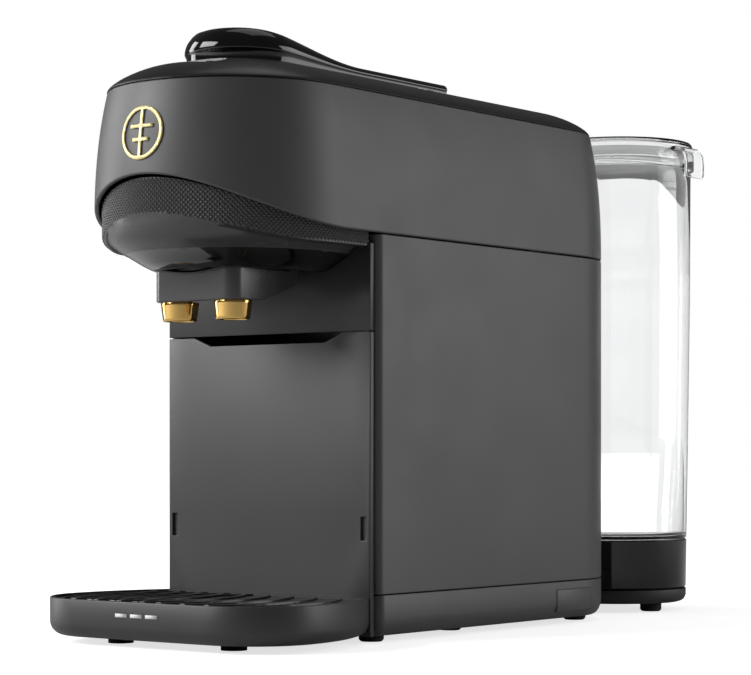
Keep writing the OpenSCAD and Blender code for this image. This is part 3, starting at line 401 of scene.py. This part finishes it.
def columnOf(p):
    if p.y > frontCentre - 0.001:
        along = -p.y / -frontCentre * sideSteps
        return round(along) if p.x < 0 else 2 * sideSteps + frontSteps - round(along)
    return sideSteps + round((math.atan2(p.y - frontCentre, p.x) + math.pi) / math.pi * frontSteps)


peaks = {v for v in bm.verts if (columnOf(v.co) + round((v.co.z - bandFoot) / pitch)) % 2 == 0}
for f in [f for f in bm.faces if len(f.verts) == 4]:
    valley = [v for v in f.verts if v not in peaks]
    if len(valley) == 2:
        bmesh.utils.face_split(f, valley[0], valley[1])
for v in bm.verts:
    low = bandFoot + swoop(v.co.y, bandSet["lowerStart"], bandSet["lowerRadius"])
    high = seamZ + swoop(v.co.y, housingSet["swoopStart"], housingSet["swoopRadius"]) + bandSet["cover"]
    if v in peaks and low < v.co.z < high:
        v.co = v.co - inwardAt(v.co) * bandSet["height"]
    v.co.z = min(max(v.co.z, low), high)
finishPiece(bm, "knurledBand", "machine", "panel_satin", ["knurled_band"], solid=bandSet["wall"], flat=True)

# ---- underside of the head: a satin wall, a crisp ring, and a gloss bowl ----

bowlSet = {"squeeze": 0.02, "tail": 0.4, "wall": 2, "ringHeight": -9.3,
           "wallProfile": [(0.4, 20), (0.05, 6.3), (0.35, 2.6), (1.3, -0.7), (2.3, -2.9), (3.6, -4.7),
                           (6.4, -6.9), (9.6, -9.0), (9.9, -9.3)],
           "bowlProfile": [(10.4, -9.4), (17.9, -13.9), (21.5, -15.7), (24.8, -16.9), (27.5, -17.1)]}

bm = bmesh.new()
profile = [(bandSet["inset"] + d, seamZ + z) for d, z in bowlSet["wallProfile"] + bowlSet["bowlProfile"]]
tail = bowlSet["tail"]
geom = chain(bm, (-half, -tail), (1, 0), profile)
sweep(bm, geom, [("line", (0, frontCentre + tail), 6), ("turn", (0, frontCentre), 180, 72),
                 ("line", (0, -frontCentre - tail), 6)])
flatZ = profile[-1][1]
fillHoles(bm, lambda p: p.z < flatZ + 0.01)
for v in bm.verts:    # the wall hangs from the band's lower edge
    low = bandFoot + swoop(v.co.y, bandSet["lowerStart"], bandSet["lowerRadius"])
    if v.co.z > low:
        v.co.z = low + (v.co.z - low) * bowlSet["squeeze"]
ring = seamZ + bowlSet["ringHeight"]
for f in bm.faces:
    f.material_index = 1 if f.calc_center_median().z > ring else 0
bowl = finishPiece(bm, "headBowl", "machine", "gloss_black", ["head_underside"], solid=bowlSet["wall"],
                   even=False)
bowl.data.materials.append(finishes["spout_grey"])

# ---- spout block with its lip ----

spoutLow, spoutHigh = nodeBox("spout_block")
spoutSet = {"corner": 6.5, "depth": 45, "sunk": 1.5, "rise": 0.34, "riseFrom": 20, "edge": 0.7,
            "lip": 0.9, "lipShort": 6, "lipDrop": 0.4, "wave": 1.0,
            "lipProfile": [(2.2, -0.7), (0.4, -0.55), (0, 0), (0.3, 0.5), (3, 2.6)]}


def spoutOutline(bm, front, reach, depth, profile, closed):
    # sweeps a profile round the block's front corners and along its sides
    c = spoutSet["corner"]
    geom = chain(bm, (0, front), (0, 1), profile)
    route = [("line", (reach - c, 0), 8), ("turn", (reach - c, front + c), 90, 12), ("line", (0, depth - c), 8)]
    if closed:
        route += [("line", (-2 * reach, 0), 6), ("line", (0, c - depth), 8)]
        route += [("turn", (c - reach, front + c), 90, 12), ("line", (reach - c, 0), 8)]
    sweep(bm, geom, route)
    bmesh.ops.remove_doubles(bm, verts=bm.verts, dist=0.01)


bm = bmesh.new()
front, top, foot = spoutLow.y, spoutHigh.z + spoutSet["sunk"], spoutLow.z
spoutOutline(bm, front, spoutHigh.x, spoutSet["depth"], [(0, foot), (0, top)], True)
fillHoles(bm, lambda p: p.z < foot + 0.01)
fillHoles(bm, lambda p: p.z > top - 0.01)
bevelWhere(bm, lambda p: p.z < foot + 0.01, spoutSet["edge"], 3)
for v in bm.verts:    # the underside rises towards the back
    if v.co.z < foot + 1:
        v.co.z += max(0, v.co.y - front - spoutSet["riseFrom"]) * spoutSet["rise"]
finishPiece(bm, "spoutBlock", "machine", "spout_grey", ["spout_block"])

bm = bmesh.new()
lip = spoutSet["lip"]
spoutOutline(bm, front - lip, spoutHigh.x + lip, spoutSet["depth"] - spoutSet["lipShort"],
             spoutSet["lipProfile"], False)
bmesh.ops.mirror(bm, geom=bm.verts[:] + bm.edges[:] + bm.faces[:], axis="X", merge_dist=0.01)
for v in bm.verts:
    v.co.z += spoutHigh.z - spoutSet["lipDrop"] - spoutSet["wave"] * math.cos(math.pi * v.co.x / spoutHigh.x)
finishPiece(bm, "spoutLip", "machine", "gloss_black", [], rounds=1)

# ---- lever: a gloss blade with a raised, stepped nose ----

leverLow, leverHigh = nodeBox("lever")
leverSet = {"noseEnd": -40, "slope": 79, "tail": 4.5, "under": 263.5, "tailShare": 0.35,
            "hingeY": 97, "hingeZ": 257, "barrel": 4, "lugHalf": 3, "lugs": ((0, 14.6), (-21.6, 2.1), (21.6, 2.1)),
            "profile": [(1, 0), (0.9, 0.25), (0.4, 0.30), (0, 0.36), (0.1, 0.44), (0.5, 0.55), (1.1, 0.64), (2, 0.73),
                        (3.2, 0.83), (4.7, 0.915), (7, 0.97), (10, 1), (16, 1), (28, 1)]}


def leverRise(y):
    # 1 at the crest, 0 along the flat tail
    u = min(1, max(0, (y - leverSet["noseEnd"]) / leverSet["slope"]))
    return (1 + math.cos(math.pi * u)) / 2


bm = bmesh.new()
blade = leverHigh.x
noseCentre = leverLow.y + blade
crest = leverHigh.z - leverSet["under"]
geom = chain(bm, (-blade, leverHigh.y), (1, 0), leverSet["profile"])
sweep(bm, geom, [("line", (0, noseCentre - leverHigh.y), 44), ("turn", (0, noseCentre), 180, 48),
                 ("line", (0, leverHigh.y - noseCentre), 44)])
bmesh.ops.remove_doubles(bm, verts=bm.verts, dist=0.005)
fillHoles(bm, lambda p: p.z < 0.01)
for v in bm.verts:
    rise = leverRise(v.co.y)
    out = Vector((v.co.x, min(0, v.co.y - noseCentre), 0))
    depth = blade - out.length
    share = leverSet["tailShare"] + (1 - leverSet["tailShare"]) * rise    # the tail's edges are tighter
    wanted = depth * share + (depth / blade) ** 3 * blade * (1 - share)
    if out.length > 0.01:
        v.co -= out.normalized() * (wanted - depth)
    v.co.z = leverSet["under"] + v.co.z * (leverSet["tail"] + (crest - leverSet["tail"]) * rise)
fillHoles(bm, lambda p: p.y > leverHigh.y - 0.01)
hingeY, hingeZ, lugHalf = leverSet["hingeY"], leverSet["hingeZ"], leverSet["lugHalf"]
bmesh.ops.create_cone(bm, cap_ends=True, segments=40, radius1=leverSet["barrel"], radius2=leverSet["barrel"],
                      depth=2 * blade - 1,
                      matrix=Matrix.Translation((0, hingeY, hingeZ)) @ Matrix.Rotation(math.radians(90), 4, "Y"))
for x, halfWide in leverSet["lugs"]:      # lugs that hang the blade from the hinge barrel
    block(bm, (x - halfWide, hingeY - lugHalf, hingeZ), (x + halfWide, hingeY + lugHalf, leverSet["under"] + 1))
finishPiece(bm, "leverBlade", "lever_arm", "gloss_black", ["lever"], angle=60)

# ---- drip tray ----

trayLow, trayHigh = nodeBox("drip_tray")
traySet = {"roll": 6.5, "corner": 36, "bow": 104, "rim": 1.9, "well": 9.2, "edge": 0.6, "backWall": 2.4,
           "wallInset": 1.2}

bm = bmesh.new()
back, front = trayHigh.y, trayLow.y + traySet["corner"]
cornerX, bowX = trayHigh.x - traySet["corner"], trayHigh.x - traySet["bow"]
bowAngle = math.asin((back - front) / traySet["bow"])
inward = (-math.cos(bowAngle), -math.sin(bowAngle))
backHalf = bowX + traySet["bow"] * math.cos(bowAngle)
well = trayHigh.z - traySet["well"]
profile = (roundUp(traySet["roll"], traySet["roll"], 8, trayLow.z) + topEdge(trayHigh.z, traySet["edge"])
           + [(traySet["rim"], trayHigh.z), (traySet["rim"], well)])
geom = chain(bm, (backHalf, back), inward, profile)
turnBack = math.degrees(bowAngle)
sweep(bm, geom, [("turn", (bowX, front), -turnBack, 16), ("turn", (cornerX, front), -90, 32),
                 ("line", (-2 * cornerX, 0), 12), ("turn", (-cornerX, front), -90, 32),
                 ("turn", (-bowX, front), -turnBack, 16)])
bmesh.ops.remove_doubles(bm, verts=bm.verts, dist=0.01)
for v in bm.verts:    # square off the two ends
    if v.co.y > back - 5:
        v.co.y = min(v.co.y, back)
fillHoles(bm, lambda p: p.z < trayLow.z + 0.01)
fillHoles(bm, lambda p: abs(p.z - well) < 0.01)
wallHalf = backHalf - traySet["wallInset"]
block(bm, (-wallHalf, back - traySet["backWall"], trayLow.z + 2), (wallHalf, back, trayHigh.z - 0.1))
finishPiece(bm, "dripTray", "tray", "panel_satin", ["drip_tray"])

# ---- tank: clear vessel, clear lid with its grip, gloss foot ----

skirtLow, skirtHigh = nodeBox("tank_skirt")
vesselLow, vesselHigh = nodeBox("tank_vessel")
lidLow, lidHigh = nodeBox("tank_lid")
tankSet = {"reach": 18, "radius": 42, "draft": 3.6, "wall": 2.2, "full": 256}
tankY = (skirtLow.y + skirtHigh.y) / 2
tankC, tankR = tankSet["reach"], tankSet["radius"]
tankRoute = [("turn", (tankC, tankY), 180, 56), ("line", (-2 * tankC, 0), 4),
             ("turn", (-tankC, tankY), 180, 56), ("line", (2 * tankC, 0), 4)]


def draft(z):
    return tankSet["draft"] * (1 - z / tankSet["full"])


def tankSweep(profile):
    bm = bmesh.new()
    geom = chain(bm, (tankC, tankY - tankR), (0, 1), profile)
    sweep(bm, geom, tankRoute)
    bmesh.ops.remove_doubles(bm, verts=bm.verts, dist=0.01)
    return bm


floorZ, full, wall = skirtHigh.z, tankSet["full"], tankSet["wall"]
mouth = full - 4      # the vessel's rim sits inside the lid
bm = tankSweep([(draft(floorZ) + 6, floorZ + 0.1), (draft(floorZ) + 1.2, floorZ + 0.1), (draft(floorZ), floorZ + 1.2),
                (draft(floorZ + 60), floorZ + 60), (draft(floorZ + 130), floorZ + 130),
                (draft(238) + 0.6, 238), (0.6 + 2.0, 240.4), (0.6 + 2.6, 242), (3.2, mouth - 0.4), (3.6, mouth),
                (5.0, mouth), (5.4, mouth - 0.4), (5.4, 240), (draft(232) + wall + 0.8, 233.5),
                (draft(floorZ + 130) + wall, floorZ + 130), (draft(floorZ + 60) + wall, floorZ + 60),
                (draft(floorZ) + wall, floorZ + 5), (draft(floorZ) + wall + 1.2, floorZ + 3.2),
                (draft(floorZ) + 7, floorZ + 2.6)])
fillHoles(bm, lambda p: p.z < floorZ + 0.2)
fillHoles(bm, lambda p: p.z < floorZ + 2.7)
finishPiece(bm, "tankVessel", "tank", "tank_clear", ["tank_vessel"], angle=50)

plateTop, plateFoot, skirt = full - 1.2, full - 3, full - 14.6
bm = tankSweep([(12, plateFoot), (6.2, plateFoot), (2.4, full - 2.6), (2.0, full - 4), (2.0, skirt + 0.4),
                (1.6, skirt - 0.2), (0.4, skirt - 0.2), (0, skirt), (0, full - 6), (0.35, full - 5.6),
                (0.35, full - 4.6), (0, full - 4.2), (0, full - 2), (0.3, full - 1), (1, full - 0.3),
                (2.2, full), (6.2, full), (6.8, full - 0.5), (7.4, plateTop), (12, plateTop)])
fillHoles(bm, lambda p: abs(p.z - plateTop) < 0.01)
fillHoles(bm, lambda p: abs(p.z - plateFoot) < 0.01)
finishPiece(bm, "tankLid", "lid", "tank_clear", ["tank_lid"], angle=50)

gripSet = {"start": 1.6, "wide": 9, "thick": 1.9, "edge": 0.5,
           "route": [(0, -4.2), (4, -4.2), (6.6, -4.9), (8.7, -6.6), (10, -9.2), (10.5, -13), (10.5, -18), (10, -21.4)]}

bm = bmesh.new()
for side in (-1, 1):
    x0 = side * (tankC + tankR - gripSet["start"])
    geom = chain(bm, (x0, tankY - gripSet["wide"]), (side, 0), [(d, full + z) for d, z in gripSet["route"]])
    sweep(bm, geom, [("line", (0, 2 * gripSet["wide"]), 6)])
finishPiece(bm, "lidGrips", "lid", "tank_clear", [], solid=gripSet["thick"], bevel=gripSet["edge"],
            angle=60)

skirtFoot = skirtLow.z
bm = tankSweep([(draft(skirtFoot) + 8, skirtFoot), (draft(skirtFoot) + 0.8, skirtFoot),
                (draft(skirtFoot), skirtFoot + 1), (draft(floorZ), floorZ - 0.6),
                (draft(floorZ) + 0.6, floorZ), (draft(floorZ) + 8, floorZ)])
fillHoles(bm, lambda p: p.z > floorZ - 0.01)
fillHoles(bm, lambda p: p.z < skirtFoot + 0.01)
finishPiece(bm, "tankFoot", "tank", "gloss_black", ["tank_skirt"])

print("pieces made")

# ---- the frame's own nodes that show: each takes its finish and softened edges ----

printed = {"head_emblem", "tray_mark"}      # too thin to take a bevel
nodeSet = {"weld": 0.02, "edge": 0.3, "segments": 2, "angle": 30}

for part in frame["record"]["subparts"]:
    name, slot = part["node"], part["material_slot"]
    node = frame["nodes"].get(name)
    if node is None:
        continue
    node.data.materials.clear()
    node.data.materials.append(finishes[slot])
    if node.hide_render:
        continue
    node.data.shade_smooth()
    weld = node.modifiers.new("weld", "WELD")
    weld.merge_threshold = nodeSet["weld"] * mm
    if name not in printed:
        addBevel(node, nodeSet["edge"], nodeSet["segments"], nodeSet["angle"])

# ---- stage and light ----

# the floor's size, tone and glow, the distances its glow grows between, and the world as seen and as fill light
stageSet = {"floor": 6, "floorTone": 0.86, "glowNear": 0.72, "glowFar": 1.0, "near": 0.45, "far": 1.7,
            "world": 1.0, "fill": 0.10}

bm = bmesh.new()
bmesh.ops.create_grid(bm, x_segments=1, y_segments=1, size=stageSet["floor"])
mesh = bpy.data.meshes.new("floor")
bm.to_mesh(mesh)
bm.free()
floor = bpy.data.objects.new("floor", mesh)
bpy.context.scene.collection.objects.link(floor)
floorFinish = bpy.data.materials.new("floor")
floorFinish.use_nodes = True
floorShader = floorFinish.node_tree.nodes["Principled BSDF"]
floorShader.inputs["Base Color"].default_value = (stageSet["floorTone"],) * 3 + (1,)
floorShader.inputs["Roughness"].default_value = 0.9
floorShader.inputs["Specular IOR Level"].default_value = 0.1
floorShader.inputs["Emission Color"].default_value = (1, 1, 1, 1)
nodes, links = floorFinish.node_tree.nodes, floorFinish.node_tree.links
seenFloor = nodes.new("ShaderNodeLightPath")
spot = nodes.new("ShaderNodeTexCoord")
away = nodes.new("ShaderNodeVectorMath")      # the paper sweep glows more towards its far edge
away.operation = "LENGTH"
links.new(spot.outputs["Object"], away.inputs[0])
spread = nodes.new("ShaderNodeMapRange")
for socket, value in (("From Min", "near"), ("From Max", "far"), ("To Min", "glowNear"), ("To Max", "glowFar")):
    spread.inputs[socket].default_value = stageSet[value]
links.new(away.outputs["Value"], spread.inputs["Value"])
glow = nodes.new("ShaderNodeMath")
glow.operation = "MULTIPLY"
links.new(seenFloor.outputs["Is Camera Ray"], glow.inputs[0])
links.new(spread.outputs["Result"], glow.inputs[1])
links.new(glow.outputs["Value"], floorShader.inputs["Emission Strength"])
mesh.materials.append(floorFinish)

world = bpy.data.worlds.new("studio")
bpy.context.scene.world = world
world.use_nodes = True
nodes, links = world.node_tree.nodes, world.node_tree.links
back = nodes["Background"]
back.inputs["Color"].default_value = (1, 1, 1, 1)
path = nodes.new("ShaderNodeLightPath")
seen = nodes.new("ShaderNodeMath")
seen.operation = "MAXIMUM"
links.new(path.outputs["Is Camera Ray"], seen.inputs[0])
links.new(path.outputs["Is Transmission Ray"], seen.inputs[1])
level = nodes.new("ShaderNodeMapRange")
level.inputs["To Min"].default_value = stageSet["fill"]
level.inputs["To Max"].default_value = stageSet["world"]
links.new(seen.outputs["Value"], level.inputs["Value"])
links.new(level.outputs["Result"], back.inputs["Strength"])

lampSet = {
    "right": {"place": (1.5, 1.15, 0.55), "aim": (0.06, 0.05, 0.12), "size": (1.2, 1.3), "power": 15},
    "left": {"place": (-1.1, -1.55, 0.95), "aim": (-0.03, -0.14, 0.2), "size": (1.2, 0.9), "power": 32},
    "rim": {"place": (-1.7, -0.4, 0.6), "aim": (-0.03, -0.14, 0.2), "size": (0.5, 1.2), "power": 12},
    "top": {"place": (0.0, 0.25, 1.9), "aim": (0, 0.02, 0.1), "size": (1.2, 1.2), "power": 4},
}
for name, s in lampSet.items():
    lamp = bpy.data.lights.new(name, "AREA")
    lamp.shape = "RECTANGLE"
    lamp.size, lamp.size_y = s["size"]
    lamp.energy = s["power"]
    holder = bpy.data.objects.new(name, lamp)
    holder.location = s["place"]
    holder.rotation_euler = (Vector(s["place"]) - Vector(s["aim"])).to_track_quat("Z", "Y").to_euler()
    bpy.context.scene.collection.objects.link(holder)
bpy.context.scene.view_settings.view_transform = "Standard"
